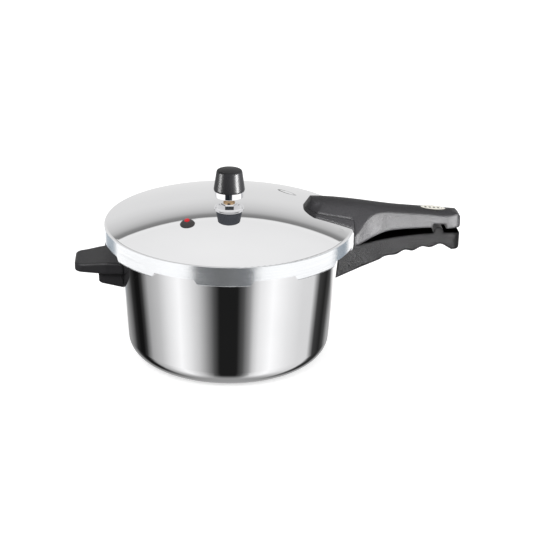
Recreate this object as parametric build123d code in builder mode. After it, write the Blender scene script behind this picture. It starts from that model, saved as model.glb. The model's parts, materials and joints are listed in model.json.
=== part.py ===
from build123d import *
import os
from math import cos, radians, sin, sqrt

# Stovetop pressure cooker with a bayonet lid. Millimetres, +Z up.
# The origin is the centre of the pot's base, and +X runs along the long handles.

# ---- Pot -------------------------------------------------------------------
POT_FOOT_R = 98.4  # outer wall line carried down to the stove
POT_NECK_R = 108.7  # outer wall just under the rim flange
POT_WALL = 2.4
POT_FLOOR = 5.0
POT_CORNER = 19.5  # round between floor and wall, outside
RIM_LOW = 118.5  # underside of the rim flange
RIM_TOP = 121.5
FLANGE_R = 113.0
POT_LUG_R = 117.3
POT_LUG_WIDTH = 18.0  # degrees

# ---- Bayonet ---------------------------------------------------------------
LUGS = 8
LUG_PITCH = 360 / LUGS
LUG_START = -4.7  # one lug's centre, measured from the long handle

# ---- Lid -------------------------------------------------------------------
LID_R = 122.0
LID_TOP = 154.8
DOME_R = 400.0
LID_WALL = 2.4
LID_EDGE_ROUND = 3.0
SKIRT_LOW = 120.3  # skirt edge between the lugs
LUG_LOW = 114.9
LUG_THICK = 2.5
LID_LUG_R = 111.0  # how far the lid's lugs reach in under the pot's
NOTCH_TOP = 40.3  # width of the notch between two lugs at its top
NOTCH_BOTTOM = 49.3

# ---- Regulator valve -------------------------------------------------------
VENT_X, VENT_Y = -2.4, -46.1
PIPE_R = 4.0
PIPE_BORE = 1.3
PIPE_TOP = 35.5  # heights of the valve are above the lid's surface
PIPE_LOW = -12.0
COLLAR_R = 12.2  # at its top
COLLAR_TOP = 10.7
NUT_R = 14.2
NUT_TOP = 14.3
WEIGHT_R = 13.5
WEIGHT_LOW = 24.0
CAP_R = 14.7
CAP_TOP_R = 12.0
CAP_LOW = 30.2
CAP_TOP = 50.0
CAP_CROWN = 1.0

# ---- Pressure indicator ----------------------------------------------------
PLUG_X, PLUG_Y = -41.6, -50.7
PLUG_R = 7.2
PLUG_TOP = 4.8
PLUG_LOW = -5.0
PIN_RISE = 4.0

# ---- Handles ---------------------------------------------------------------
LID_GRIP_END = 227.6
POT_GRIP_END = 226.6
POT_GRIP_HALF = 12.8  # half the pot handle's width
SEAM_X = 119.3  # where the lid handle's base ends, at the rim
SEAM_GAP = 0.3
HELPER_END = -151.0
STRAP = 2.2  # sheet thickness of the steel brackets
FIT = 0.15  # gap round a fixed metal part in its moulding

os.makedirs("parts", exist_ok=True)


def pot_wall_r(z):
    """Outer radius of the pot's tapered wall at a height."""
    return POT_FOOT_R + (POT_NECK_R - POT_FOOT_R) * z / RIM_LOW


def dome_z(r, offset=0.0):
    """Height of the lid's domed surface at a radius, moved out by an offset."""
    return LID_TOP - DOME_R + sqrt((DOME_R + offset) ** 2 - r**2)


VENT_Z = dome_z(sqrt(VENT_X**2 + VENT_Y**2))


def corner(sketch, x, y):
    """The corner of a sketch that is nearest to a point."""
    return sketch.vertices().sort_by_distance((x, y, 0))[0]


def save(part, name):
    """Label a finished piece and write it as its own file."""
    part.part.label = name
    export_step(part.part, f"parts/{name}.step")


def dome_plane(x, y):
    """Plane on the lid's surface whose Z axis points straight out of the dome."""
    z = dome_z(sqrt(x**2 + y**2))
    out = Vector(x, y, z - LID_TOP + DOME_R)
    return Plane(origin=(x, y, z), x_dir=(out.Z, 0, -out.X), z_dir=out)


def lid_envelope(gap):
    """Everything that the lid's outer surface encloses, grown by a gap."""
    with BuildPart() as envelope:
        with BuildSketch(Plane.XZ) as section:
            with BuildLine():
                edge_r = LID_R + gap
                ThreePointArc(
                    (0, dome_z(0, gap)),
                    (edge_r / 2, dome_z(edge_r / 2, gap)),
                    (edge_r, dome_z(edge_r, gap)),
                )
                Polyline(
                    (edge_r, dome_z(edge_r, gap)),
                    (edge_r, 100),
                    (0, 100),
                    (0, dome_z(0, gap)),
                )
            make_face()
            fillet(corner(section, edge_r, dome_z(edge_r, gap)), LID_EDGE_ROUND)
        revolve(axis=Axis.Z)
    return envelope.part


def under_dome(gap):
    """The space below the lid's inner surface, kept a gap away from it."""
    depth = -LID_WALL - gap
    with BuildPart() as space:
        with BuildSketch(Plane.XZ):
            with BuildLine():
                ThreePointArc(
                    (0, dome_z(0, depth)),
                    (50, dome_z(50, depth)),
                    (100, dome_z(100, depth)),
                )
                Polyline(
                    (100, dome_z(100, depth)),
                    (100, 100),
                    (0, 100),
                    (0, dome_z(0, depth)),
                )
            make_face()
        revolve(axis=Axis.Z)
    return space.part


def pot_envelope(gap):
    """Everything that the pot's outer wall encloses, grown by a gap."""
    with BuildPart() as envelope:
        with BuildSketch(Plane.XZ):
            Polygon(
                (0, 0),
                (POT_FOOT_R + gap, 0),
                (POT_NECK_R + gap, RIM_LOW),
                (0, RIM_LOW),
                align=None,
            )
        revolve(axis=Axis.Z)
    return envelope.part


def wall_pad(side, width, low, high, thickness, gap=0.0):
    """Plate that lies against the pot's wall on one side (+1 or -1 along X)."""
    with BuildPart() as pad:
        with BuildSketch(Plane.XZ):
            Polygon(
                (pot_wall_r(low), low),
                (pot_wall_r(low) + thickness, low),
                (pot_wall_r(high) + thickness, high),
                (pot_wall_r(high), high),
                align=None,
            )
        revolve(axis=Axis.Z)
        with Locations((side * 100, 0, (low + high) / 2)):
            Box(60, width + 2 * gap, high - low + 2, mode=Mode.INTERSECT)
    return pad.part


def screw(length, shank_r, head_r, head_h):
    """Cross-head screw along +Z, its head's bearing face at the origin."""
    with BuildPart() as fastener:
        with BuildSketch():
            Circle(shank_r)
        extrude(amount=length)
        with BuildSketch():
            Circle(head_r)
        extrude(amount=-head_h)
        chamfer(fastener.edges().sort_by(Axis.Z)[0], head_h * 0.3)
        with BuildSketch(Plane.XY.offset(-head_h)):
            Rectangle(head_r * 1.1, head_r * 0.28)
            Rectangle(head_r * 0.28, head_r * 1.1)
        extrude(amount=head_h * 0.5, mode=Mode.SUBTRACT)
    return fastener.part


def tube(outer_r, inner_r, low, high):
    """Ring or tube about the local Z axis between two heights."""
    with BuildPart() as ring:
        with BuildSketch(Plane.XY.offset(low)):
            Circle(outer_r)
            Circle(inner_r, mode=Mode.SUBTRACT)
        extrude(amount=high - low)
    return ring.part


# ---- Pot body: polished aluminium pan with a flange and eight lugs ----------
inner_foot_r = pot_wall_r(POT_FLOOR) - POT_WALL
with BuildPart() as pot_body:
    with BuildSketch(Plane.XZ) as pot_section:
        with BuildLine():
            Polyline(
                (0, 0),
                (POT_FOOT_R, 0),
                (POT_NECK_R, RIM_LOW),
                (FLANGE_R, RIM_LOW),
                (FLANGE_R, RIM_TOP),
                (POT_NECK_R - POT_WALL, RIM_TOP),
                (inner_foot_r, POT_FLOOR),
                (0, POT_FLOOR),
                close=True,
            )
        make_face()
        fillet(corner(pot_section, POT_FOOT_R, 0), POT_CORNER)
        fillet(corner(pot_section, inner_foot_r, POT_FLOOR), POT_CORNER - POT_WALL)
        fillet(corner(pot_section, POT_NECK_R, RIM_LOW), 1.2)
        fillet(corner(pot_section, POT_NECK_R - POT_WALL, RIM_TOP), 1.8)
    revolve(axis=Axis.Z)
    with BuildSketch(Plane.XY.offset(RIM_LOW)):
        with PolarLocations(0, LUGS, start_angle=LUG_START):
            with Locations((POT_LUG_R - 4, 0)):
                Rectangle(14, 2 * POT_LUG_R * sin(radians(POT_LUG_WIDTH / 2)))
        Circle(POT_LUG_R, mode=Mode.INTERSECT)
        Circle(POT_NECK_R + 2, mode=Mode.SUBTRACT)
    extrude(amount=RIM_TOP - RIM_LOW)
save(pot_body, "pot_body")

# ---- Pot handle bracket: pad on the wall and a tang inside the handle --------
PAD_WIDTH = 20.0
PAD_LOW, PAD_HIGH = 84.0, 108.0
TANG_RISE = 14.0  # degrees
TANG_WIDTH = 14.0
TANG_LENGTH = 52.0
TANG_ROOT_Z = 96.5
tang_plane = Plane(
    origin=(pot_wall_r(TANG_ROOT_Z) + 1.4, 0, TANG_ROOT_Z),
    x_dir=(cos(radians(TANG_RISE)), 0, sin(radians(TANG_RISE))),
    z_dir=(-sin(radians(TANG_RISE)), 0, cos(radians(TANG_RISE))),
)
POT_SCREW_AT = 33.0  # along the tang
pot_screw_plane = tang_plane.offset(-5.0)


def tang(plane, length, width, thickness, gap=0.0):
    """Flat bar that runs along a plane's X axis."""
    with BuildPart() as bar:
        with BuildSketch(plane.offset(-gap)):
            with Locations((length / 2 + gap / 2, 0)):
                Rectangle(length + gap, width + 2 * gap)
        extrude(amount=thickness + 2 * gap)
    return bar.part


with BuildPart() as pot_handle_bracket:
    add(wall_pad(1, PAD_WIDTH, PAD_LOW, PAD_HIGH, STRAP))
    add(tang(tang_plane, TANG_LENGTH, TANG_WIDTH, STRAP))
    with Locations(tang_plane):
        with Locations((POT_SCREW_AT, 0, 0)):
            Cylinder(2.1, 12, mode=Mode.SUBTRACT)
save(pot_handle_bracket, "pot_handle_bracket")

# ---- Pot handle: moulded grip with finger waves and a latch rib --------------
RIB_X, RIB_Z, RIB_R = 205.0, 126.2, 4.8
with BuildPart() as pot_handle:
    with BuildSketch(Plane.XZ) as grip_side:
        with BuildLine():
            top = Spline(
                (100, 110.5),
                (122.8, 112.9),
                (147, 118.6),
                (175, 123.1),
                (RIB_X - RIB_R, 125.0),
            )
            rib = ThreePointArc(
                top @ 1,
                (RIB_X, RIB_Z + RIB_R),
                (RIB_X + RIB_R, 125.4),
            )
            Polyline(
                rib @ 1,
                (POT_GRIP_END, 125.2),
                (POT_GRIP_END, 108.6),
                (218.5, 108.0),
            )
            waves = Spline(
                (218.5, 108.0),
                (213.5, 111.0),
                (207, 113.8),
                (197, 110.2),
                (189.5, 111.2),
                (179.5, 106.8),
                (173, 107.8),
                (164, 103.2),
                (157.5, 102.3),
                (148, 98.2),
            )
            Polyline(
                waves @ 1,
                (130, 90.6),
                (100, 76.6),
                (100, 110.5),
            )
        make_face()
        fillet(corner(grip_side, POT_GRIP_END, 125.2), 2.5)
        fillet(corner(grip_side, POT_GRIP_END, 108.6), 3.5)
    extrude(amount=POT_GRIP_HALF, both=True)
    with BuildSketch(Plane.XY) as grip_plan:
        with BuildLine():
            Polyline(
                (95, -POT_GRIP_HALF - 1),
                (112, -POT_GRIP_HALF - 1),
                (150, -POT_GRIP_HALF + 0.4),
                (POT_GRIP_END, -POT_GRIP_HALF + 0.8),
                (POT_GRIP_END, POT_GRIP_HALF - 0.8),
                (150, POT_GRIP_HALF - 0.4),
                (112, POT_GRIP_HALF + 1),
                (95, POT_GRIP_HALF + 1),
                close=True,
            )
        make_face()
        fillet(corner(grip_plan, POT_GRIP_END, POT_GRIP_HALF), 6)
        fillet(corner(grip_plan, POT_GRIP_END, -POT_GRIP_HALF), 6)
    extrude(amount=200, mode=Mode.INTERSECT)
    add(pot_envelope(FIT), mode=Mode.SUBTRACT)
    add(
        wall_pad(1, PAD_WIDTH, PAD_LOW - FIT, PAD_HIGH + FIT, STRAP + FIT, FIT),
        mode=Mode.SUBTRACT,
    )
    add(tang(tang_plane, TANG_LENGTH, TANG_WIDTH, STRAP, FIT), mode=Mode.SUBTRACT)
    with Locations(pot_screw_plane):
        with Locations((POT_SCREW_AT, 0, -15)):
            Cylinder(4.4, 30, mode=Mode.SUBTRACT)
        with Locations((POT_SCREW_AT, 0, 5)):
            Cylinder(2.1, 12, mode=Mode.SUBTRACT)
save(pot_handle, "pot_handle")

with BuildPart() as pot_handle_screw:
    with Locations(pot_screw_plane):
        with Locations((POT_SCREW_AT, 0, 0)):
            add(screw(10.5, 2.0, 4.0, 2.4))
save(pot_handle_screw, "pot_handle_screw")

# ---- Helper handle, opposite the grip ---------------------------------------
HELPER_PAD_LOW, HELPER_PAD_HIGH = 79.0, 97.0
HELPER_PAD_WIDTH = 26.0
HELPER_TANG_Z = 94.4
HELPER_TANG_LENGTH, HELPER_TANG_WIDTH = 30.0, 16.0
HELPER_BLOCK_HALF = 17.5  # half the width of the block under the plate
HELPER_SCREW_X = -118.0
helper_plane = Plane(
    origin=(-pot_wall_r(HELPER_TANG_Z) - 1.2, 0, HELPER_TANG_Z),
    x_dir=(-1, 0, 0),
    z_dir=(0, 0, 1),
)
with BuildPart() as helper_bracket:
    add(wall_pad(-1, HELPER_PAD_WIDTH, HELPER_PAD_LOW, HELPER_PAD_HIGH, STRAP))
    add(tang(helper_plane, HELPER_TANG_LENGTH, HELPER_TANG_WIDTH, STRAP))
    with Locations((HELPER_SCREW_X, 0, HELPER_TANG_Z)):
        Cylinder(2.1, 12, mode=Mode.SUBTRACT)
save(helper_bracket, "helper_bracket")

with BuildPart() as helper_handle:
    with BuildSketch(Plane.XZ):
        with BuildLine():
            plate_top = Spline(
                (HELPER_END, 98.6),
                (-136, 99.4),
                (-121, 101.2),
                (-112, 100.8),
                (-95, 99.0),
            )
            Polyline(
                plate_top @ 1,
                (-95, 89.0),
                (HELPER_END, 89.8),
                (HELPER_END, 98.6),
            )
        make_face()
    extrude(amount=30, both=True)
    with BuildSketch(Plane.XY) as helper_plan:
        with BuildLine():
            Polyline(
                (-90, -25),
                (-121, -25),
                (HELPER_END, -18.5),
                (HELPER_END, 18.5),
                (-121, 25),
                (-90, 25),
                close=True,
            )
        make_face()
        fillet(corner(helper_plan, HELPER_END, -18.5), 9)
        fillet(corner(helper_plan, HELPER_END, 18.5), 9)
        fillet(corner(helper_plan, -121, -25), 14)
        fillet(corner(helper_plan, -121, 25), 14)
    extrude(amount=200, mode=Mode.INTERSECT)
    for face in helper_handle.faces().sort_by(Axis.Z)[:: len(helper_handle.faces()) - 1]:
        rim = face.edges().filter_by(lambda e: e.bounding_box().min.X < -96)
        fillet(rim, 1.8)
    with BuildSketch(Plane.XZ) as block_side:
        with BuildLine():
            Polyline(
                (-95, 95),
                (-128, 95),
                (-127.5, 79.6),
                (-124.5, 77.6),
                (-95, 70.6),
                close=True,
            )
        make_face()
        fillet(corner(block_side, -127.5, 79.6), 2)
    extrude(amount=HELPER_BLOCK_HALF, both=True)
    add(pot_envelope(FIT), mode=Mode.SUBTRACT)
    add(
        wall_pad(
            -1,
            HELPER_PAD_WIDTH,
            HELPER_PAD_LOW - FIT,
            HELPER_PAD_HIGH + FIT,
            STRAP + FIT,
            FIT,
        ),
        mode=Mode.SUBTRACT,
    )
    add(
        tang(helper_plane, HELPER_TANG_LENGTH, HELPER_TANG_WIDTH, STRAP, FIT),
        mode=Mode.SUBTRACT,
    )
    with Locations((HELPER_SCREW_X, 0, 75)):
        Cylinder(4.4, 30, mode=Mode.SUBTRACT)
    with Locations((HELPER_SCREW_X, 0, 94)):
        Cylinder(2.1, 10, mode=Mode.SUBTRACT)
save(helper_handle, "helper_handle")

with BuildPart() as helper_screw:
    with Locations((HELPER_SCREW_X, 0, 90)):
        add(screw(8.6, 2.0, 4.0, 2.4))
save(helper_screw, "helper_screw")

# ---- Lid bracket and its rivet positions -------------------------------------
RIVETS_X = (94.5, 104.5)
STRAP_START, STRAP_BEND = 85.5, 111.0
STRAP_WIDTH = 15.0
LID_TANG_Z = 138.6
LID_TANG_END = 164.0
LID_SCREWS = ((139.0, 129.6), (156.0, 132.6))  # place along X, bearing height
RIVET_R = 2.2

# ---- Lid: domed pressing with a turned-in bayonet skirt ----------------------
with BuildPart() as lid:
    with BuildSketch(Plane.XZ) as lid_section:
        inner_r = LID_R - LID_WALL
        with BuildLine():
            outside = ThreePointArc(
                (0, LID_TOP),
                (LID_R / 2, dome_z(LID_R / 2)),
                (LID_R, dome_z(LID_R)),
            )
            inside = ThreePointArc(
                (0, dome_z(0, -LID_WALL)),
                (inner_r / 2, dome_z(inner_r / 2, -LID_WALL)),
                (inner_r, dome_z(inner_r, -LID_WALL)),
            )
            Polyline(
                outside @ 1,
                (LID_R, LUG_LOW),
                (LID_LUG_R, LUG_LOW),
                (LID_LUG_R, LUG_LOW + LUG_THICK),
                (inner_r, LUG_LOW + LUG_THICK),
                inside @ 1,
            )
            Line(outside @ 0, inside @ 0)
        make_face()
        fillet(corner(lid_section, LID_R, dome_z(LID_R)), LID_EDGE_ROUND)
        fillet(corner(lid_section, inner_r, dome_z(inner_r, -LID_WALL)), 1.8)
        fillet(corner(lid_section, LID_R, LUG_LOW), 1.6)
    revolve(axis=Axis.Z)
    for index in range(LUGS):
        gap_angle = LUG_START + LUG_PITCH * (index + 0.5)
        outward = (cos(radians(gap_angle)), sin(radians(gap_angle)), 0)
        along = (-outward[1], outward[0], 0)
        notch_plane = Plane(origin=(0, 0, 0), x_dir=along, z_dir=outward)
        with BuildSketch(notch_plane.offset(100)) as notch:
            Polygon(
                (-NOTCH_TOP / 2, SKIRT_LOW),
                (NOTCH_TOP / 2, SKIRT_LOW),
                (NOTCH_BOTTOM / 2, LUG_LOW - 1),
                (-NOTCH_BOTTOM / 2, LUG_LOW - 1),
                align=None,
            )
            fillet(corner(notch, -NOTCH_TOP / 2, SKIRT_LOW), 1.5)
            fillet(corner(notch, NOTCH_TOP / 2, SKIRT_LOW), 1.5)
        extrude(amount=30, mode=Mode.SUBTRACT)
    with Locations((VENT_X, VENT_Y, VENT_Z)):
        Cylinder(PIPE_R + 0.1, 20, mode=Mode.SUBTRACT)
    with Locations(dome_plane(PLUG_X, PLUG_Y)):
        Cylinder(5.0, 20, mode=Mode.SUBTRACT)
    for rivet_x in RIVETS_X:
        with Locations(dome_plane(rivet_x, 0)):
            Cylinder(RIVET_R + 0.02, 20, mode=Mode.SUBTRACT)
    # A plain oval maker's recess near the back rim, and the closed-position mark.
    stamp_plane = dome_plane(59.6, 48.6).rotated((0, 0, 129))
    with BuildSketch(stamp_plane.offset(-0.35)):
        Ellipse(11.5, 4.6)
        Ellipse(10.3, 3.5, mode=Mode.SUBTRACT)
    extrude(amount=3, mode=Mode.SUBTRACT)
    mark_plane = dome_plane(105.9, -36.8).rotated((0, 0, -8))
    with BuildSketch(mark_plane.offset(-0.4)):
        SlotOverall(5.5, 1.3)
    extrude(amount=3, mode=Mode.SUBTRACT)
save(lid, "lid")

# ---- Gasket: lipped silicone ring under the lid's edge ------------------------
GASKET_LOW = RIM_TOP + 0.3
GASKET_TOP = 131.8
GASKET_OUT = LID_R - LID_WALL - 0.2
with BuildPart() as gasket:
    with BuildSketch(Plane.XZ) as gasket_section:
        with BuildLine():
            Polyline(
                (GASKET_OUT, GASKET_TOP),
                (107, GASKET_TOP),
                (105.6, 127.6),
                (108.2, GASKET_LOW),
                (111.6, GASKET_LOW),
                (111.2, 126.2),
                (115.6, 126.2),
                (115.9, GASKET_LOW),
                (GASKET_OUT, GASKET_LOW),
                close=True,
            )
        make_face()
        fillet(corner(gasket_section, GASKET_OUT, GASKET_TOP), 2.4)
        fillet(corner(gasket_section, 107, GASKET_TOP), 1.5)
        fillet(corner(gasket_section, 111.2, 126.2), 1.2)
        fillet(corner(gasket_section, 115.6, 126.2), 1.2)
        fillet(corner(gasket_section, 105.6, 127.6), 1.5)
    revolve(axis=Axis.Z)
save(gasket, "gasket")

# ---- Lid bracket: strap riveted to the dome, reaching into the handle ---------
with BuildPart() as lid_bracket:
    with BuildSketch(Plane.XZ):
        with BuildLine():
            Polyline(
                (STRAP_START, dome_z(STRAP_START, STRAP)),
                (STRAP_BEND, LID_TANG_Z + STRAP + 0.1),
                (LID_TANG_END, LID_TANG_Z + STRAP),
                (LID_TANG_END, LID_TANG_Z),
                (STRAP_BEND + 1, LID_TANG_Z),
                (STRAP_START, dome_z(STRAP_START) - 0.5),
                close=True,
            )
        make_face()
    extrude(amount=STRAP_WIDTH / 2, both=True)
    add(lid_envelope(0.02), mode=Mode.SUBTRACT)
    for screw_x, _ in LID_SCREWS:
        with Locations((screw_x, 0, LID_TANG_Z)):
            Cylinder(2.1, 12, mode=Mode.SUBTRACT)
    for rivet_x in RIVETS_X:
        with Locations(dome_plane(rivet_x, 0)):
            Cylinder(RIVET_R + 0.02, 20, mode=Mode.SUBTRACT)
save(lid_bracket, "lid_bracket")

with BuildPart() as lid_bracket_rivets:
    for rivet_x in RIVETS_X:
        rivet_plane = dome_plane(rivet_x, 0)
        with BuildSketch(rivet_plane.offset(-LID_WALL - 1.6)):
            Circle(RIVET_R)
        extrude(amount=LID_WALL + STRAP + 3.0)
        with BuildSketch(rivet_plane.offset(STRAP + 0.15)):
            Circle(3.8)
        extrude(amount=1.3)
        with BuildSketch(rivet_plane.offset(-LID_WALL - 0.1)):
            Circle(4.0)
        extrude(amount=-1.5)
save(lid_bracket_rivets, "lid_bracket_rivets")


# ---- Lid handle: base piece on the dome and the grip above it -----------------
# Half outlines in plan, nose to end, at three heights. The sides flare downwards.
PLAN_LOW = [
    (55, 0),
    (56, 18),
    (61, 28),
    (69, 31.5),
    (88, 31),
    (102, 32.5),
    (113, 34),
    (121, 33.5),
    (131, 28.5),
    (141, 22),
    (153, 17.6),
    (169, 16.6),
    (200, 16),
    (217, 14.6),
    (225.5, 9.5),
    (LID_GRIP_END + 0.4, 0),
]
PLAN_MID = [
    (66, 0),
    (67, 15),
    (70, 24.5),
    (75, 29.6),
    (89, 31),
    (103, 32),
    (113, 32.8),
    (121, 32),
    (130, 26),
    (140, 19.4),
    (152, 15.4),
    (168, 14.2),
    (200, 13.6),
    (217, 12.4),
    (225, 7.8),
    (LID_GRIP_END, 0),
]
PLAN_TOP = [
    (79.5, 0),
    (79.7, 5),
    (81, 7.8),
    (84.5, 9.4),
    (92, 6),
    (104, 5),
    (113, 4.2),
    (121, 3.2),
    (130, 4),
    (140, 6),
    (152, 8.4),
    (168, 8.2),
    (200, 7.8),
    (216, 7.4),
    (223.5, 4.8),
    (LID_GRIP_END - 1.8, 0),
]
PLAN_HEIGHTS = (115.0, 137.5, 160.0)
CROWN = [
    (40, 158.4),
    (66, 159.2),
    (80, 159.4),
    (96, 158.8),
    (112, 157.3),
    (128, 155.3),
    (144, 153.0),
    (160, 150.9),
    (176, 149.4),
    (192, 148.1),
    (208, 146.7),
    (240, 143.9),
]
ARCH_R = 22.0  # how tightly the top curves from side to side
CHANNEL_HALF = STRAP_WIDTH / 2 + 0.2
CHANNEL_LONG, CHANNEL_TALL = 100.0, 60.0
BASE_LOW = 133.5  # the base ends at the top of the skirt
END_TOP = 145.0  # where the handle's far end meets its top
END_ROUND = 9.0
SEAM_RISE = 0.151  # slope of the seam towards the nose
SEAM_CORNER_Z = 143.9


def handle_plan(half):
    """Closed outline from one half of the handle's plan."""
    with BuildSketch() as plan:
        with BuildLine():
            Spline(*half, *[(x, -y) for x, y in half[-2:0:-1]], periodic=True)
        make_face()
    return plan.sketch


def crown_space():
    """Everything under the handle's arched top."""
    with BuildPart() as space:
        with BuildLine():
            crown = Spline(*[(x, 0, z) for x, z in CROWN])
        with BuildSketch(Plane(origin=crown @ 0, x_dir=(0, 1, 0), z_dir=crown % 0)):
            with BuildLine():
                arch = Spline(*[(y, -(y**2) / (2 * ARCH_R)) for y in range(-40, 41, 10)])
                Polyline(arch @ 1, (40, -70), (-40, -70), arch @ 0)
            make_face()
        sweep()
    return space.part


def handle_block():
    """The whole handle above the pot's grip, before it is split at the seam."""
    with BuildPart() as block:
        for half, height in zip((PLAN_LOW, PLAN_MID, PLAN_TOP), PLAN_HEIGHTS):
            with BuildSketch(Plane.XY.offset(height)):
                add(handle_plan(half))
        loft()
        add(crown_space(), mode=Mode.INTERSECT)
    return block.part


def seam_side(drop):
    """Side view of everything below the seam, lowered by a gap."""
    corner_z = SEAM_CORNER_Z - drop
    with BuildSketch(Plane.XZ) as side:
        Polygon(
            (50, corner_z + SEAM_RISE * (SEAM_X - 50)),
            (SEAM_X - drop, corner_z),
            (SEAM_X - drop, 90),
            (50, 90),
            align=None,
        )
        fillet(corner(side, SEAM_X - drop, corner_z), 4)
    return side.sketch


HANDLE_BLOCK = handle_block()
with BuildPart() as lid_handle_base:
    with BuildSketch(Plane.XZ):
        add(seam_side(SEAM_GAP))
    extrude(amount=40, both=True)
    add(HANDLE_BLOCK, mode=Mode.INTERSECT)
    add(lid_envelope(0.1), mode=Mode.SUBTRACT)
    # Open channel for the bracket and the rivet heads.
    with Locations((STRAP_START + CHANNEL_LONG / 2 - 1, 0, LID_TANG_Z + 1)):
        Box(CHANNEL_LONG, 2 * CHANNEL_HALF, CHANNEL_TALL, mode=Mode.SUBTRACT)
    split(bisect_by=Plane.XY.offset(BASE_LOW), keep=Keep.TOP)
save(lid_handle_base, "lid_handle_base")

BADGE_X, BADGE_LONG, BADGE_WIDE = 200.0, 27.0, 12.5
BADGE_SINK = 1.2
badge_plane = Plane(
    origin=(BADGE_X, 0, 147.4),
    x_dir=(1, 0, -0.088),
    z_dir=(0.088, 0, 1),
)
with BuildPart() as lid_handle:
    with BuildSketch(Plane.XZ) as handle_side:
        with BuildLine():
            Polyline(
                (50, 170),
                (LID_GRIP_END, 170),
                (LID_GRIP_END, 130.0),
                (211.8, 130.4),
                (211.8, 135.0),
                (198.2, 135.0),
                (198.2, 131.6),
            )
            belly = Spline(
                (198.2, 131.6),
                (169, 130.6),
                (152, 128.6),
                (137, 124.6),
                (SEAM_X, 120.6),
            )
            Polyline(
                belly @ 1,
                (SEAM_X, 100),
                (50, 100),
                (50, 170),
            )
        make_face()
        fillet(corner(handle_side, LID_GRIP_END, 130.0), 2.0)
        add(seam_side(0), mode=Mode.SUBTRACT)
    extrude(amount=50, both=True)
    add(HANDLE_BLOCK, mode=Mode.INTERSECT)
    with BuildSketch(Plane.XZ):
        with BuildLine():
            Polyline(
                (LID_GRIP_END - END_ROUND, END_TOP),
                (LID_GRIP_END - END_ROUND, 170),
                (LID_GRIP_END + 5, 170),
                (LID_GRIP_END + 5, END_TOP - END_ROUND),
                (LID_GRIP_END, END_TOP - END_ROUND),
            )
            CenterArc(
                (LID_GRIP_END - END_ROUND, END_TOP - END_ROUND),
                END_ROUND,
                0,
                90,
            )
        make_face()
    extrude(amount=50, both=True, mode=Mode.SUBTRACT)
    add(lid_envelope(SEAM_GAP), mode=Mode.SUBTRACT)
    add(
        tang(
            Plane(origin=(SEAM_X - 3, 0, LID_TANG_Z), x_dir=(1, 0, 0), z_dir=(0, 0, 1)),
            LID_TANG_END - SEAM_X + 3,
            STRAP_WIDTH,
            STRAP,
            FIT,
        ),
        mode=Mode.SUBTRACT,
    )
    for screw_x, bearing_z in LID_SCREWS:
        with Locations((screw_x, 0, bearing_z - 10)):
            Cylinder(4.2, 20, mode=Mode.SUBTRACT)
        with Locations((screw_x, 0, bearing_z + 6)):
            Cylinder(2.1, 14, mode=Mode.SUBTRACT)
    with BuildSketch(badge_plane.offset(-BADGE_SINK)):
        Ellipse(BADGE_LONG / 2 + 0.15, BADGE_WIDE / 2 + 0.15)
    extrude(amount=5, mode=Mode.SUBTRACT)
save(lid_handle, "lid_handle")

with BuildPart() as handle_badge:
    with BuildSketch(badge_plane.offset(-BADGE_SINK)):
        Ellipse(BADGE_LONG / 2, BADGE_WIDE / 2)
    extrude(amount=1.4)
    chamfer(handle_badge.faces().sort_by(Axis.Z)[-1].edges(), 0.3)
save(handle_badge, "handle_badge")

with BuildPart() as lid_handle_screws:
    for screw_x, bearing_z in LID_SCREWS:
        with Locations((screw_x, 0, bearing_z)):
            add(screw(LID_TANG_Z + STRAP + 1.5 - bearing_z, 2.0, 3.9, 2.2))
save(lid_handle_screws, "lid_handle_screws")

# ---- Regulator valve ---------------------------------------------------------
vent_plane = Plane(origin=(VENT_X, VENT_Y, VENT_Z))
plug_plane = dome_plane(PLUG_X, PLUG_Y)


def turned(points, plane=vent_plane):
    """Revolve an outline of (radius, height) points about a plane's Z axis."""
    with BuildPart() as turning:
        with BuildSketch(Plane.XZ):
            Polygon(*points, align=None)
        revolve(axis=Axis.Z)
    return turning.part.moved(plane.location)


with BuildPart() as vent_collar:
    add(
        turned(
            [
                (PIPE_R + 0.1, -3),
                (COLLAR_R - 1.7, -3),
                (COLLAR_R - 1.5, 0.5),
                (COLLAR_R - 0.3, 6.5),
                (COLLAR_R, COLLAR_TOP),
                (PIPE_R + 0.1, COLLAR_TOP),
            ]
        )
    )
    add(lid_envelope(0.05), mode=Mode.SUBTRACT)
save(vent_collar, "vent_collar")

with BuildPart() as vent_nut:
    add(
        turned(
            [
                (PIPE_R + 0.05, COLLAR_TOP + 0.05),
                (NUT_R - 1.0, COLLAR_TOP + 0.05),
                (NUT_R - 0.3, COLLAR_TOP + 0.8),
                (NUT_R, COLLAR_TOP + 2.0),
                (NUT_R - 0.4, NUT_TOP - 0.5),
                (NUT_R - 1.4, NUT_TOP),
                (NUT_R - 2.8, NUT_TOP),
                (NUT_R - 4.0, NUT_TOP - 1.4),
                (PIPE_R + 0.05, NUT_TOP - 1.4),
            ]
        )
    )
    with BuildSketch(vent_plane.offset(NUT_TOP - 1.6)):
        RegularPolygon(8.2, 6)
        Circle(PIPE_R + 0.05, mode=Mode.SUBTRACT)
    extrude(amount=4.6)
    chamfer(vent_nut.faces().sort_by(Axis.Z)[-1].edges().filter_by(GeomType.LINE), 0.8)
save(vent_nut, "vent_nut")

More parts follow.
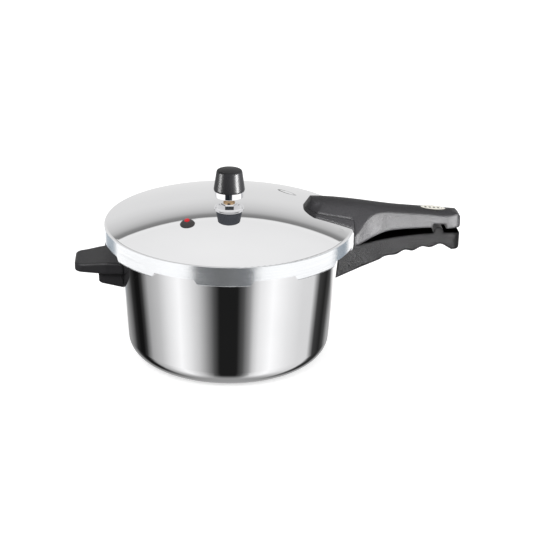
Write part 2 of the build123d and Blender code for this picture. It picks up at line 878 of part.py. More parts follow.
# The flange stands on the nut; a guide ring above it centres the weight.
FLANGE_LOW = NUT_TOP + 3.1
with BuildPart() as vent_pipe:
    add(
        turned(
            [
                (PIPE_BORE, PIPE_LOW),
                (PIPE_R, PIPE_LOW),
                (PIPE_R, FLANGE_LOW),
                (5.6, FLANGE_LOW),
                (5.6, FLANGE_LOW + 1.5),
                (PIPE_R + 0.2, FLANGE_LOW + 3.3),
                (PIPE_R + 0.2, FLANGE_LOW + 4.1),
                (3.4, FLANGE_LOW + 5.3),
                (3.4, PIPE_TOP - 1),
                (2.9, PIPE_TOP),
                (2.4, PIPE_TOP),
                (PIPE_BORE, PIPE_TOP - 1.8),
            ]
        )
    )
save(vent_pipe, "vent_pipe")

WASHER_LOW = -5.2
with BuildPart() as vent_washer:
    with Locations(vent_plane):
        add(tube(9.0, PIPE_R + 0.1, WASHER_LOW, 0))
    add(under_dome(0.02), mode=Mode.INTERSECT)
save(vent_washer, "vent_washer")

BACK_NUT_H = 4.0
with BuildPart() as vent_back_nut:
    with BuildSketch(vent_plane.offset(WASHER_LOW - 0.1)):
        RegularPolygon(8.2, 6)
        Circle(PIPE_R + 0.05, mode=Mode.SUBTRACT)
    extrude(amount=-BACK_NUT_H)
    chamfer(
        vent_back_nut.faces().sort_by(Axis.Z)[0].edges().filter_by(GeomType.LINE), 0.7
    )
save(vent_back_nut, "vent_back_nut")

STRAINER_R, STRAINER_WALL = 6.4, 1.0
STRAINER_TOP, STRAINER_LOW = -9.6, -15.5
with BuildPart() as vent_strainer:
    add(
        turned(
            [
                (PIPE_R + 0.05, STRAINER_TOP),
                (STRAINER_R, STRAINER_TOP),
                (STRAINER_R, STRAINER_LOW + 0.8),
                (STRAINER_R - 0.8, STRAINER_LOW),
                (0, STRAINER_LOW),
                (0, STRAINER_LOW + STRAINER_WALL),
                (STRAINER_R - STRAINER_WALL, STRAINER_LOW + STRAINER_WALL),
                (STRAINER_R - STRAINER_WALL, STRAINER_TOP - 1.2),
                (PIPE_R + 0.05, STRAINER_TOP - 1.2),
            ]
        )
    )
    with Locations(vent_plane):
        with PolarLocations(STRAINER_R, 8):
            with Locations((0, 0, (STRAINER_TOP + STRAINER_LOW) / 2)):
                Box(3, 1.4, 2.6, mode=Mode.SUBTRACT)
save(vent_strainer, "vent_strainer")

# ---- Regulator weight: chrome sleeve, needle and heat-proof cap ----------------
CORE_R, CORE_TOP = 9.6, 45.2
SLEEVE_BORE, NEEDLE_R = 4.8, 2.5
with BuildPart() as weight_sleeve:
    add(
        turned(
            [
                (SLEEVE_BORE, WEIGHT_LOW + 0.5),
                (SLEEVE_BORE + 0.5, WEIGHT_LOW),
                (WEIGHT_R - 0.6, WEIGHT_LOW),
                (WEIGHT_R, WEIGHT_LOW + 0.6),
                (WEIGHT_R, CAP_LOW - 0.05),
                (CORE_R, CAP_LOW - 0.05),
                (CORE_R, CORE_TOP),
                (NEEDLE_R + 0.05, CORE_TOP),
                (NEEDLE_R + 0.05, PIPE_TOP + 4.5),
                (SLEEVE_BORE, PIPE_TOP + 2.5),
            ]
        )
    )
save(weight_sleeve, "weight_sleeve")

with BuildPart() as weight_needle:
    add(
        turned(
            [
                (0, PIPE_TOP - 1.7),
                (2.2, PIPE_TOP + 0.9),
                (NEEDLE_R, PIPE_TOP + 2.0),
                (NEEDLE_R, CORE_TOP),
                (0, CORE_TOP),
            ]
        )
    )
save(weight_needle, "weight_needle")

cap_ball_r = (CAP_TOP_R**2 + CAP_CROWN**2) / (2 * CAP_CROWN)
cap_mid = CAP_TOP + CAP_CROWN - cap_ball_r + sqrt(cap_ball_r**2 - (CAP_TOP_R / 2) ** 2)
with BuildPart() as weight_cap:
    with BuildSketch(Plane.XZ) as cap_section:
        with BuildLine():
            Polyline(
                (0, CORE_TOP + 0.1),
                (CORE_R + 0.1, CORE_TOP + 0.1),
                (CORE_R + 0.1, CAP_LOW),
                (CAP_R - 0.4, CAP_LOW),
                (CAP_R, CAP_LOW + 1.4),
                (CAP_TOP_R, CAP_TOP),
            )
            ThreePointArc(
                (CAP_TOP_R, CAP_TOP),
                (CAP_TOP_R / 2, cap_mid),
                (0, CAP_TOP + CAP_CROWN),
            )
            Line((0, CAP_TOP + CAP_CROWN), (0, CORE_TOP + 0.1))
        make_face()
        fillet(corner(cap_section, CAP_TOP_R, CAP_TOP), 2.0)
    revolve(axis=Axis.Z)
weight_cap.part = weight_cap.part.moved(vent_plane.location)
save(weight_cap, "weight_cap")

# ---- Pressure indicator ---------------------------------------------------------
GROMMET_BORE, GROMMET_NECK_R, GROMMET_BACK_R = 2.1, 4.9, 7.0
with BuildPart() as plug_shape:
    with BuildSketch(Plane.XZ):
        with BuildLine():
            Polyline(
                (2.8, PLUG_TOP),
                (2.8, PLUG_TOP - 1.4),
                (GROMMET_BORE, PLUG_TOP - 1.4),
                (GROMMET_BORE, PLUG_LOW),
                (GROMMET_BACK_R, PLUG_LOW),
                (GROMMET_BACK_R, -LID_WALL - 0.15),
                (GROMMET_NECK_R, -LID_WALL - 0.15),
                (GROMMET_NECK_R, 0.1),
                (PLUG_R - 0.5, 0.1),
                (PLUG_R, 1.3),
            )
            ThreePointArc((PLUG_R, 1.3), (5.6, 3.5), (3.5, PLUG_TOP))
            Line((3.5, PLUG_TOP), (2.8, PLUG_TOP))
        make_face()
    revolve(axis=Axis.Z)

with BuildPart() as indicator_housing:
    add(plug_shape.part.moved(plug_plane.location))
    # The grommet's flanges lie close on the dome, so the lid's own shape is cut out.
    add(lid.part, mode=Mode.SUBTRACT)
save(indicator_housing, "indicator_housing")

SEAL_TOP = PLUG_LOW - PIN_RISE - 0.4
STEM_R = 1.9
with BuildPart() as indicator_pin:
    add(
        turned(
            [
                (0, SEAL_TOP - 3.4),
                (STEM_R, SEAL_TOP - 3.4),
                (STEM_R, PLUG_TOP - 1.3),
                (2.5, PLUG_TOP - 1.3),
                (2.5, PLUG_TOP + 0.6),
                (2.0, PLUG_TOP + 1.3),
                (1.0, PLUG_TOP + 1.6),
                (0, PLUG_TOP + 1.6),
            ],
            plug_plane,
        )
    )
save(indicator_pin, "indicator_pin")

with BuildPart() as indicator_seal:
    with Locations(plug_plane):
        add(tube(3.6, STEM_R + 0.05, SEAL_TOP - 1.6, SEAL_TOP))
    fillet(indicator_seal.edges().filter_by(GeomType.CIRCLE).group_by(SortBy.RADIUS)[-1], 0.6)
save(indicator_seal, "indicator_seal")

with BuildPart() as indicator_clip:
    with Locations(plug_plane):
        add(tube(4.2, STEM_R + 0.05, SEAL_TOP - 2.5, SEAL_TOP - 1.7))
save(indicator_clip, "indicator_clip")
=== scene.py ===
import json
from math import cos, pi, radians, sin

import bpy
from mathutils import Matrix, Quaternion, Vector

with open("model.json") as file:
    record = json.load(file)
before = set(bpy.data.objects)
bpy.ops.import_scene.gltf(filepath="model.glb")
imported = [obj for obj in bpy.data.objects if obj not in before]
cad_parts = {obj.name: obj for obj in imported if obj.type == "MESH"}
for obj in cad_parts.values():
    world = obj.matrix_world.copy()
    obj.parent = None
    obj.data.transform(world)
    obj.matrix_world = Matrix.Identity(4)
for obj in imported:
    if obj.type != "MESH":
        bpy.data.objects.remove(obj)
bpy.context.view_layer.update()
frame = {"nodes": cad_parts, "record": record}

# A stovetop pressure cooker. Metres, +Z up, the long handles along +X.
# The CAD shapes stay as they are. This script gives them materials, a studio and a camera.

nodes = frame["nodes"]

# ---- Camera and floor ---------------------------------------------------------
CAMERA_TARGET = Vector((0.0369, -0.0026, 0.0874))
CAMERA_BACK = Vector((-0.0648, -0.9262, 0.3715)).normalized()  # target to camera
CAMERA_DISTANCE = 1.5
CAMERA_LENS = 102.4
CAMERA_SENSOR = 36.0
CAMERA_ROLL = radians(1.0)
CAMERA_REACH = 50.0
FLOOR_SIZE = 14.0
FLOOR_TONE = 0.85
FLOOR_ROUGHNESS = 0.9
FLOOR_GLOW = 0.42

# ---- Places on the cooker -----------------------------------------------------
# Dome at the first radius or height of each pair, machined skirt at the second.
SKIRT_RADIUS = (0.1205, 0.1218)
SKIRT_HEIGHT = (0.1349, 0.1338)
# The pot handle's top, hidden under the lid handle, where painted shade (near-black, no gloss)
# stands for the shadow in the gap: its heights, and where it starts.
HIDDEN_HEIGHTS = (0.108, 0.1262)
HIDDEN_FROM_X = 0.118
# Painted shade: the near-black colour given to that covered top, standing in for the shadow in
# the gap.
GAP_SHADE_TONE = 0.002
FACES_UP = 0.75  # a face looks up when its normal's Z is over this
# The stamp's line runs round an oval and is painted darker as the shade of its groove.
STAMP_AT = (0.0596, 0.0486)
STAMP_TURN = radians(129)
STAMP_HALF_LENGTH = 0.0109
STAMP_HALF_WIDTH = 0.00405
STAMP_LINE = (0.15, 0.24)
STAMP_STRENGTH = 0.85
BADGE_X = 0.2
BADGE_HALF_LENGTH = 0.0135
BADGE_HALF_WIDTH = 0.00625
BADGE_RIM = 0.8  # the rim is dark past this squared share of the oval
PRINT_HALF_LENGTH = 0.0088
PRINT_HALF_WIDTH = 0.0016
BAR_WAVE = 1500.0  # radians of the bars' sine wave per metre
BAR_CUT = 0.1  # a bar is where that sine is over this

# ---- Pieces that some lamps light alone, and names kept out of reflections -----
UPPER_GRIPS = ("lid_handle", "lid_handle_base")
LOWER_GRIPS = ("pot_handle",)
HELPER = ("helper_handle",)
CAPS = ("weight_cap",)
KEPT_OUT = ("vent_", "weight_", "indicator_", "lid_handle", "handle_", "pot_handle")

# ---- What the world shows -----------------------------------------------------
# Azimuths run from the camera's side, positive to its right. All angles in degrees.
# What the pot's wall reflects at each azimuth.
AROUND_LOW = (
    (-180, 0.45), (-152, 0.36), (-139, 0.19), (-130, 0.033), (-121, 0.008),
    (-114, 0.008), (-108, 0.045), (-102, 0.25), (-97, 0.45), (-82, 0.61), (-70, 0.88),
    (-55, 1.16), (-43, 0.93), (-32, 0.65), (-22, 0.30), (-15, 0.10), (-9, 0.014),
    (11, 0.014), (18, 0.095), (25, 0.34), (30, 0.70), (36, 0.94), (51, 1.19),
    (72, 0.94), (90, 0.80), (106, 0.78), (111, 0.36), (117, 0.055), (131, 0.02),
    (141, 0.075), (154, 0.42), (180, 0.45),
)
# What the lid's skirt reflects, from higher up: white sheets with grey-blue gaps.
GAP = (0.012, 0.014, 0.018)
PALE = (1.3, 1.28, 1.27)
AROUND_HIGH = (
    (-180, PALE), (-158, PALE), (-152, (0.45, 0.5, 0.55)), (-130, (0.35, 0.4, 0.45)),
    (-122, PALE), (-35, PALE), (-28, GAP), (-20, (0.03, 0.035, 0.04)), (-4, GAP),
    (8, (0.06, 0.065, 0.07)), (22, (0.045, 0.055, 0.07)), (28, PALE), (112, PALE),
    (118, (0.3, 0.35, 0.4)), (138, (0.25, 0.3, 0.35)), (146, PALE),
)
# What the dome reflects behind and above, by elevation.
BEHIND_LOW, BEHIND_HIGH = -20, 50
BEHIND = (
    (-20, 0.84), (5, 0.80), (15, 0.79), (19, 0.75), (23, 0.67), (25.2, 0.60),
    (27.3, 0.49), (29, 0.28), (30.7, 0.21), (31.3, 0.93), (33.5, 0.89), (38, 0.91),
    (50, 0.94),
)
# Where one of them gives way to the next: nothing at the first angle, all at the second.
TO_AROUND_HIGH = (-25.5, -23.5)
TO_LEVEL = (-9, -3)
TO_STRAIGHT_DOWN = (-48, -78)
TO_TURNED_AWAY = (118, 132)
TO_BEHIND_RIM = (-19, -15)
UNDERSIDE = 0.35  # the grey straight down


# ---- Node helpers -------------------------------------------------------------
class Graph:
    """A short way to add and join shader nodes in one node tree."""

    def __init__(self, tree):
        self.tree = tree
        tree.nodes.clear()

    def add(self, kind, inputs=(), **settings):
        node = self.tree.nodes.new("ShaderNode" + kind)
        for name, value in settings.items():
            setattr(node, name, value)
        for key, value in dict(inputs).items():
            self.set(node.inputs[key], value)
        return node

    def set(self, socket, value):
        if isinstance(value, bpy.types.NodeSocket):
            self.tree.links.new(value, socket)
        else:
            socket.default_value = value

    def math(self, operation, *values):
        node = self.add("Math", operation=operation)
        for socket, value in zip(node.inputs, values):
            self.set(socket, value)
        return node.outputs[0]

    def remap(self, value, low, high, to_low=0.0, to_high=1.0, smooth=False):
        node = self.add("MapRange")
        if smooth:
            node.interpolation_type = "SMOOTHSTEP"
        for socket, number in zip(node.inputs, (value, low, high, to_low, to_high)):
            self.set(socket, number)
        return node.outputs[0]

    def spread(self, noise, low, high):
        """The usual span of a noise stretched from low to high."""
        return self.remap(noise, 0.3, 0.7, low, high)

    def turn_on(self, angle, degrees):
        """Nothing at the first of two angles, one at the second."""
        first, second = degrees
        return self.remap(angle, radians(first), radians(second), smooth=True)

    def mix(self, factor, first, second):
        node = self.add("Mix", data_type="RGBA")
        self.set(node.inputs[0], factor)
        self.set(node.inputs[6], first)
        self.set(node.inputs[7], second)
        return node.outputs[2]

    def ramp(self, value, stops):
        node = self.add("ValToRGB")
        elements = node.color_ramp.elements
        elements[0].position, elements[1].position = stops[0][0], stops[-1][0]
        for place, _ in stops[1:-1]:
            elements.new(place)
        for element, (_, level) in zip(elements, stops):
            element.color = level if len(level) == 4 else (*level, 1)
        self.set(node.inputs[0], value)
        return node.outputs[0]

    def noise(self, vector, scale, detail, roughness):
        inputs = {"Vector": vector, "Scale": scale, "Detail": detail, "Roughness": roughness}
        return self.add("TexNoise", inputs).outputs[0]

    def stretched(self, vector, x, y, z):
        """The coordinates stretched by a factor along each axis."""
        node = self.add("Mapping", {"Vector": vector, "Scale": (x, y, z)})
        return node.outputs[0]

    def bump(self, height, strength, distance=0.0002):
        inputs = {"Height": height, "Strength": strength, "Distance": distance}
        return self.add("Bump", inputs)


def grey(level):
    return (level, level, level, 1)


def tinted(tone, factor):
    """A colour made lighter or darker, with its alpha."""
    return (*(channel * factor for channel in tone), 1)


def dress(graph, shader, colour, roughness, bump):
    """Join a surface's colour, roughness and relief to its shader."""
    graph.set(shader.inputs["Base Color"], colour)
    graph.set(shader.inputs["Roughness"], roughness)
    graph.set(shader.inputs["Normal"], bump.outputs[0])


def material(name, build):
    """A material whose graph is filled in by build(graph, shader, coordinates)."""
    made = bpy.data.materials.new(name)
    made.use_nodes = True
    graph = Graph(made.node_tree)
    shader = graph.add("BsdfPrincipled")
    output = graph.add("OutputMaterial")
    graph.set(output.inputs["Surface"], shader.outputs[0])
    coordinates = graph.add("TexCoord").outputs["Object"]
    build(graph, shader, coordinates)
    return made


# ---- Materials ----------------------------------------------------------------
def mirror_pot(graph, shader, place):
    """Polished aluminium: nearly a mirror, with faint buffing round the wall."""
    round_wall = graph.stretched(place, 6, 6, 900)
    buffed = graph.noise(round_wall, scale=1.0, detail=4.0, roughness=0.6)
    smudges = graph.noise(place, scale=22.0, detail=3.0, roughness=0.55)
    shader.inputs["Metallic"].default_value = 1.0
    tone = graph.mix(smudges, (0.80, 0.80, 0.81, 1), (0.86, 0.86, 0.87, 1))
    rough = graph.spread(buffed, 0.02, 0.05)
    dress(graph, shader, tone, rough, graph.bump(buffed, strength=0.03))


def across_stamp(graph, x, y, direction, half):
    """How far a point is from the stamp's centre along one axis, squared."""
    along_x, along_y = direction
    first = graph.math("MULTIPLY", x, along_x / half)
    second = graph.math("MULTIPLY", y, along_y / half)
    return graph.math("POWER", graph.math("ADD", first, second), 2.0)


def painted_stamp_shade(graph, split):
    """Near one on the oval line stamped in the dome behind the valve, where a darker colour is
    painted as the groove's shade.
    """
    x = graph.math("SUBTRACT", split.outputs["X"], STAMP_AT[0])
    y = graph.math("SUBTRACT", split.outputs["Y"], STAMP_AT[1])
    lengthways = (cos(STAMP_TURN), sin(STAMP_TURN))
    sideways = (-lengthways[1], lengthways[0])
    length_part = across_stamp(graph, x, y, lengthways, STAMP_HALF_LENGTH)
    width_part = across_stamp(graph, x, y, sideways, STAMP_HALF_WIDTH)
    radius = graph.math("SQRT", graph.math("ADD", length_part, width_part))
    distance = graph.math("ABSOLUTE", graph.math("SUBTRACT", radius, 1.0))
    return graph.remap(distance, *STAMP_LINE, STAMP_STRENGTH, 0.0, smooth=True)


def radius_from_axis(graph, split):
    """The distance from the pot's upright axis."""
    flat = graph.add("CombineXYZ", {"X": split.outputs["X"], "Y": split.outputs["Y"]})
    length = graph.add("VectorMath", operation="LENGTH")
    graph.set(length.inputs[0], flat.outputs[0])
    return length.outputs["Value"]


def lid_metal(graph, shader, place):
    """Domed lid: buffed top, and a skirt that shows the lathe's fine lines."""
    split = graph.add("SeparateXYZ", {"Vector": place})
    radius = radius_from_axis(graph, split)
    outside = graph.remap(radius, *SKIRT_RADIUS, smooth=True)
    below = graph.remap(split.outputs["Z"], *SKIRT_HEIGHT, smooth=True)
    skirt = graph.math("MULTIPLY", outside, below)
    dome = graph.math("SUBTRACT", 1.0, skirt)
    round_skirt = graph.stretched(place, 4, 4, 2600)
    lines = graph.noise(round_skirt, scale=1.0, detail=5.0, roughness=0.7)
    rings = graph.math("MULTIPLY", radius, 900.0)
    buffing = graph.noise(rings, scale=1.0, detail=4.0, roughness=0.6)
    clouds = graph.noise(place, scale=14.0, detail=3.0, roughness=0.5)
    graph.set(shader.inputs["Metallic"], graph.remap(skirt, 0.0, 1.0, 1.0, 0.86))
    dome_tone = graph.mix(clouds, (0.84, 0.84, 0.85, 1), (0.90, 0.90, 0.905, 1))
    skirt_tone = graph.mix(lines, (0.66, 0.69, 0.72, 1), (0.89, 0.90, 0.91, 1))
    tone = graph.mix(skirt, dome_tone, skirt_tone)
    # Painted shade: the stamped groove is drawn only as a darker line on the dome.
    tone = graph.mix(painted_stamp_shade(graph, split), tone, (0.42, 0.42, 0.43, 1))
    dome_rough = graph.math("MULTIPLY", graph.spread(buffing, 0.015, 0.035), dome)
    skirt_rough = graph.math("MULTIPLY", graph.spread(lines, 0.05, 0.14), skirt)
    rough = graph.math("ADD", skirt_rough, dome_rough)
    relief = graph.math("MULTIPLY", lines, skirt)
    dress(graph, shader, tone, rough, graph.bump(relief, strength=0.25))


def plain_metal(tone, roughness, grain=(40, 40, 40)):
    """Machined or plated metal with a directional grain."""

    def build(graph, shader, place):
        along_grain = graph.stretched(place, *grain)
        streaks = graph.noise(along_grain, scale=8.0, detail=4.0, roughness=0.6)
        shader.inputs["Metallic"].default_value = 1.0
        colour = graph.mix(streaks, tinted(tone, 0.88), tinted(tone, 1.0))
        rough = graph.spread(streaks, *roughness)
        dress(graph, shader, colour, rough, graph.bump(streaks, strength=0.05))

    return build


def painted_shade_on_hidden_top(graph, place):
    """One on the pot handle's top, where the lid handle covers it: the mask for the painted
    shade in the gap.
    """
    low, high = HIDDEN_HEIGHTS
    split = graph.add("SeparateXYZ", {"Vector": place})
    normal = graph.add("NewGeometry").outputs["True Normal"]
    lie = graph.add("SeparateXYZ", {"Vector": normal})
    upward = graph.math("GREATER_THAN", lie.outputs["Z"], FACES_UP)
    above = graph.math("GREATER_THAN", split.outputs["Z"], low)
    below = graph.math("LESS_THAN", split.outputs["Z"], high)
    outside = graph.math("GREATER_THAN", split.outputs["X"], HIDDEN_FROM_X)
    band = graph.math("MULTIPLY", above, below)
    return graph.math("MULTIPLY", graph.math("MULTIPLY", upward, outside), band)


def moulded(tone, roughness, grain, depth, edge=0.001, shine=0.16, paint_hidden_shade=False):
    """Moulded plastic: a fine pebbled skin with slightly uneven gloss and soft edges, and
    optionally painted shade on the pot handle's covered top.
    """

    def build(graph, shader, place):
        pebbles = graph.add("TexVoronoi", {"Vector": place, "Scale": grain})
        specks = graph.noise(place, scale=grain * 1.7, detail=3.0, roughness=0.6)
        lengthways = graph.stretched(place, 20, 60, 60)
        flow = graph.noise(lengthways, scale=1.0, detail=2.0, roughness=0.5)
        soft_edge = graph.add("Bevel", {"Radius": edge}, samples=6)
        colour = graph.mix(flow, tinted(tone, 0.75), tinted(tone, 1.35))
        shader.inputs["Specular IOR Level"].default_value = shine
        # Painted shade: the covered top turns near-black and loses its gloss, standing in for
        # the shadow between the handles.
        if paint_hidden_shade:
            shaded_top = painted_shade_on_hidden_top(graph, place)
            colour = graph.mix(shaded_top, colour, grey(GAP_SHADE_TONE))
            gloss = graph.remap(shaded_top, 0.0, 1.0, shine, 0.0)
            graph.set(shader.inputs["Specular IOR Level"], gloss)
        rough = graph.spread(specks, *roughness)
        skin = graph.math("ADD", pebbles.outputs["Distance"], specks)
        relief = graph.bump(skin, strength=0.35, distance=depth)
        graph.set(relief.inputs["Normal"], soft_edge.outputs[0])
        dress(graph, shader, colour, rough, relief)

    return build


def rubber(tone, roughness):
    """Moulded silicone or rubber with a dusty, slightly mottled skin."""

    def build(graph, shader, place):
        dust = graph.noise(place, scale=600.0, detail=3.0, roughness=0.6)
        colour = graph.mix(dust, tinted(tone, 0.8), tinted(tone, 1.0))
        rough = graph.spread(dust, *roughness)
        dress(graph, shader, colour, rough, graph.bump(dust, strength=0.12))

    return build


def badge_bars(graph, along, across):
    """One on the row of bars that stands for the badge's print."""
    wave = graph.math("SINE", graph.math("MULTIPLY", along, BAR_WAVE))
    bars = graph.math("GREATER_THAN", wave, BAR_CUT)
    in_length = graph.math("LESS_THAN", graph.math("ABSOLUTE", along), PRINT_HALF_LENGTH)
    in_width = graph.math("LESS_THAN", graph.math("ABSOLUTE", across), PRINT_HALF_WIDTH)
    return graph.math("MULTIPLY", graph.math("MULTIPLY", bars, in_length), in_width)


def badge_plate(graph, shader, place):
    """A pale printed oval with a dark rim line and a row of plain dark bars."""
    split = graph.add("SeparateXYZ", {"Vector": place})
    along = graph.math("SUBTRACT", split.outputs["X"], BADGE_X)
    across = split.outputs["Y"]
    length_part = graph.math("POWER", graph.math("DIVIDE", along, BADGE_HALF_LENGTH), 2.0)
    width_part = graph.math("POWER", graph.math("DIVIDE", across, BADGE_HALF_WIDTH), 2.0)
    oval = graph.math("ADD", length_part, width_part)
    rim = graph.math("GREATER_THAN", oval, BADGE_RIM)
    dark = graph.math("MAXIMUM", badge_bars(graph, along, across), rim)
    dust = graph.noise(place, scale=900.0, detail=3.0, roughness=0.6)
    paint = graph.mix(dust, (0.72, 0.70, 0.62, 1), (0.84, 0.82, 0.74, 1))
    colour = graph.mix(dark, paint, (0.03, 0.028, 0.025, 1))
    rough = graph.spread(dust, 0.3, 0.42)
    relief = graph.bump(dust, strength=0.1, distance=0.0001)
    dress(graph, shader, colour, rough, relief)


BAKELITE = moulded(
    (0.0065, 0.0063, 0.007), (0.34, 0.5), grain=900, depth=0.0005, edge=0.0032, paint_hidden_shade=True
)
COLLAR = moulded((0.050, 0.054, 0.064), (0.45, 0.6), grain=1300, depth=0.0001)
CAP = moulded(
    (0.005, 0.005, 0.0055), (0.3, 0.38), grain=1600, depth=0.00003, edge=0.0015, shine=0.1
)
RED = moulded((0.62, 0.02, 0.03), (0.25, 0.35), grain=900, depth=0.0001)
BRACKET = plain_metal((0.6, 0.6, 0.62), (0.3, 0.42))
SCREW = plain_metal((0.62, 0.62, 0.63), (0.24, 0.34))
# Painted shade: the brass tone is darkened to stand in for the weight sleeve's shadow over the
# pipe.
BRASS_PAINTED_DARK = plain_metal((0.42, 0.29, 0.17), (0.1, 0.2), grain=(10, 10, 300))
CHROME = plain_metal((0.88, 0.88, 0.9), (0.03, 0.06))
GASKET = rubber((0.28, 0.28, 0.29), (0.47, 0.63))
GROMMET = rubber((0.03, 0.026, 0.026), (0.42, 0.58))
# One material for each slot in the record.
MATERIALS = {
    "polished_aluminium": material("polished_pot", mirror_pot),
    "lid_aluminium": material("lid_metal", lid_metal),
    "bracket_steel": material("bracket_steel", BRACKET),
    "screw_steel": material("screw_steel", SCREW),
    "bakelite": material("phenolic", BAKELITE),
    "silicone": material("silicone", GASKET),
    "badge": material("badge_plate", badge_plate),
    "brass": material("brass", BRASS_PAINTED_DARK),
    "chrome": material("chrome", CHROME),
    "blue_grey_plastic": material("blue_grey_plastic", COLLAR),
    "cap_plastic": material("cap_plastic", CAP),
    "black_rubber": material("black_rubber", GROMMET),
    "red_plastic": material("red_plastic", RED),
}


def paint_nodes():
    """Give every CAD node the material of its slot in the record."""
    for entry in frame["record"]["subparts"]:
        mesh = nodes[entry["node"]].data
        mesh.materials.clear()
        mesh.materials.append(MATERIALS[entry["material_slot"]])


def keep_out_of_reflections():
    """The metal beside these pieces stays clean, with no mirror image of them."""
    for name, node in nodes.items():
        if name.startswith(KEPT_OUT):
            node.visible_glossy = False


# ---- Studio -------------------------------------------------------------------
def directions(graph):
    """The azimuth from the camera's side and the elevation of a direction."""
    facing = graph.add("TexCoord").outputs["Generated"]
    turned = graph.add("VectorRotate", {"Vector": facing}, rotation_type="Z_AXIS")
    yaw = Vector((0, -1)).angle_signed(CAMERA_BACK.xy)
    graph.set(turned.inputs["Angle"], yaw)
    split = graph.add("SeparateXYZ", {"Vector": turned.outputs[0]})
    x, y, z = (split.outputs[axis] for axis in "XYZ")
    azimuth = graph.math("ARCTAN2", x, graph.math("MULTIPLY", y, -1.0))
    return azimuth, graph.math("ARCSINE", z)


def seen_around(graph, azimuth, elevation):
    """What the upright walls reflect: the low ring, the high ring, grey straight down."""
    turn = graph.remap(azimuth, -pi, pi)
    low_stops = [((degrees + 180) / 360, grey(level)) for degrees, level in AROUND_LOW]
    high_stops = [((degrees + 180) / 360, level) for degrees, level in AROUND_HIGH]
    raised = graph.turn_on(elevation, TO_AROUND_HIGH)
    around = graph.mix(raised, graph.ramp(turn, low_stops), graph.ramp(turn, high_stops))
    straight_down = graph.turn_on(elevation, TO_STRAIGHT_DOWN)
    return graph.mix(straight_down, around, grey(UNDERSIDE))


def seen_behind(graph, elevation):
    """What the dome reflects."""
    span = BEHIND_HIGH - BEHIND_LOW
    stops = [((degrees - BEHIND_LOW) / span, grey(level)) for degrees, level in BEHIND]
    height = graph.remap(elevation, radians(BEHIND_LOW), radians(BEHIND_HIGH))
    return graph.ramp(height, stops)


def behind_mask(graph, azimuth, elevation):
    """One where the dome's view takes over from the walls' view."""
    size = graph.math("ABSOLUTE", azimuth)
    turned_away = graph.turn_on(size, TO_TURNED_AWAY)
    over_rim = graph.turn_on(elevation, TO_BEHIND_RIM)
    level = graph.turn_on(elevation, TO_LEVEL)
    far_side = graph.math("MULTIPLY", turned_away, over_rim)
    return graph.math("MAXIMUM", far_side, level)


def studio_world():
    """White to the camera; softboxes and dark flags to everything that reflects."""
    world = bpy.data.worlds.new("studio")
    bpy.context.scene.world = world
    world.use_nodes = True
    graph = Graph(world.node_tree)
    azimuth, elevation = directions(graph)
    side = seen_around(graph, azimuth, elevation)
    behind = seen_behind(graph, elevation)
    seen = graph.mix(behind_mask(graph, azimuth, elevation), side, behind)
    light = graph.add("Background", {"Color": seen, "Strength": 1.0})
    white = graph.add("Background", {"Color": grey(1.0), "Strength": 1.0})
    rays = graph.add("LightPath")
    either = graph.add("MixShader")
    graph.set(either.inputs[0], rays.outputs["Is Camera Ray"])
    graph.set(either.inputs[1], light.outputs[0])
    graph.set(either.inputs[2], white.outputs[0])
    output = graph.add("OutputWorld")
    graph.set(output.inputs["Surface"], either.outputs[0])


def floor():
    """A pale floor under the cooker, with a little glow of its own."""
    mesh = bpy.data.meshes.new("studio_floor")
    half = FLOOR_SIZE / 2
    corners = [(-half, -half, 0), (half, -half, 0), (half, half, 0), (-half, half, 0)]
    mesh.from_pydata(corners, [], [(0, 1, 2, 3)])
    ground = bpy.data.objects.new("studio_floor", mesh)
    bpy.context.scene.collection.objects.link(ground)

    def pale(graph, shader, place):
        shader.inputs["Base Color"].default_value = grey(FLOOR_TONE)
        shader.inputs["Roughness"].default_value = FLOOR_ROUGHNESS
        shader.inputs["Emission Color"].default_value = grey(1.0)
        shader.inputs["Emission Strength"].default_value = FLOOR_GLOW

    mesh.materials.append(material("pale_floor", pale))
    ground.visible_glossy = False


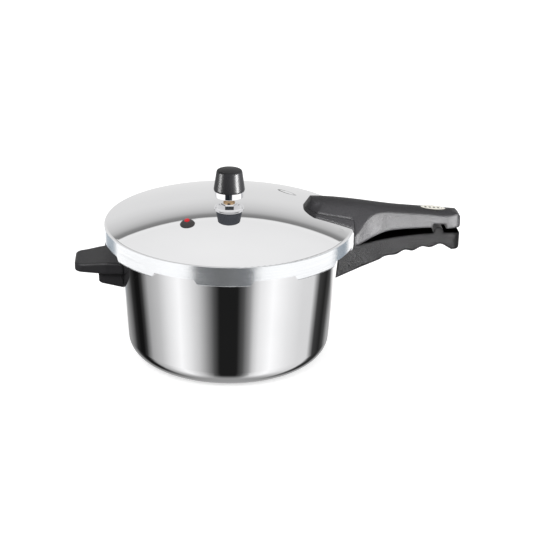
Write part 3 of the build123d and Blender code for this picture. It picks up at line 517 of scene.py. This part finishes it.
def area_light(name, place, aim, size, power, only=()):
    """A soft lamp. One that lights only some pieces also shows in their gloss."""
    lamp = bpy.data.lights.new(name, "AREA")
    lamp.shape = "RECTANGLE"
    lamp.size, lamp.size_y = size
    lamp.energy = power
    holder = bpy.data.objects.new(name, lamp)
    holder.location = place
    aimed = Vector(aim) - Vector(place)
    holder.rotation_euler = aimed.to_track_quat("-Z", "Y").to_euler()
    holder.visible_glossy = bool(only)
    if only:
        lit = bpy.data.collections.new(name + "_lit")
        for piece in only:
            lit.objects.link(nodes[piece])
        holder.light_linking.receiver_collection = lit
    bpy.context.scene.collection.objects.link(holder)


def lamps():
    """Two lamps for everything, and seven for the dark mouldings alone."""
    area_light("key", (-0.9, -1.2, 1.5), (0, 0, 0.1), (1.2, 1.0), 12.0)
    area_light("fill", (1.3, -0.9, 0.9), (0.1, 0, 0.1), (1.0, 1.0), 7.0)
    area_light("front", (0.15, -1.5, -0.1), (0.15, 0, 0.13), (1.0, 0.9), 290.0, UPPER_GRIPS)
    area_light("front_right", (1.3, -0.8, 0), (0.15, 0, 0.13), (0.9, 0.9), 210.0, UPPER_GRIPS)
    area_light("overhead", (0.35, -0.15, 1.3), (0.12, 0, 0.14), (0.5, 0.4), 6.0, UPPER_GRIPS)
    area_light("low_front", (0.15, -1.5, -0.3), (0.15, 0, 0.1), (1.0, 0.5), 190.0, LOWER_GRIPS)
    area_light("high_left", (-0.7, -1.0, 1.0), (-0.13, 0, 0.1), (0.7, 0.5), 45.0, HELPER)
    area_light("strip_left", (-1.29, -0.32, 0.1), (0, 0, 0.19), (0.4, 0.9), 100.0, CAPS)
    area_light("strip_right", (1.15, -0.67, 0.1), (0, 0, 0.19), (0.4, 0.9), 270.0, CAPS)


def camera():
    """The photograph's view, rolled a little about its own line of sight."""
    lens = bpy.data.cameras.new("camera")
    lens.lens = CAMERA_LENS
    lens.sensor_width = CAMERA_SENSOR
    lens.clip_end = CAMERA_REACH
    holder = bpy.data.objects.new("camera", lens)
    holder.location = CAMERA_TARGET + CAMERA_BACK * CAMERA_DISTANCE
    aim = (-CAMERA_BACK).to_track_quat("-Z", "Y")
    holder.rotation_mode = "QUATERNION"
    holder.rotation_quaternion = aim @ Quaternion((0, 0, 1), CAMERA_ROLL)
    bpy.context.scene.collection.objects.link(holder)
    bpy.context.scene.camera = holder


paint_nodes()
keep_out_of_reflections()
studio_world()
floor()
lamps()
camera()
bpy.context.scene.view_settings.view_transform = "Standard"
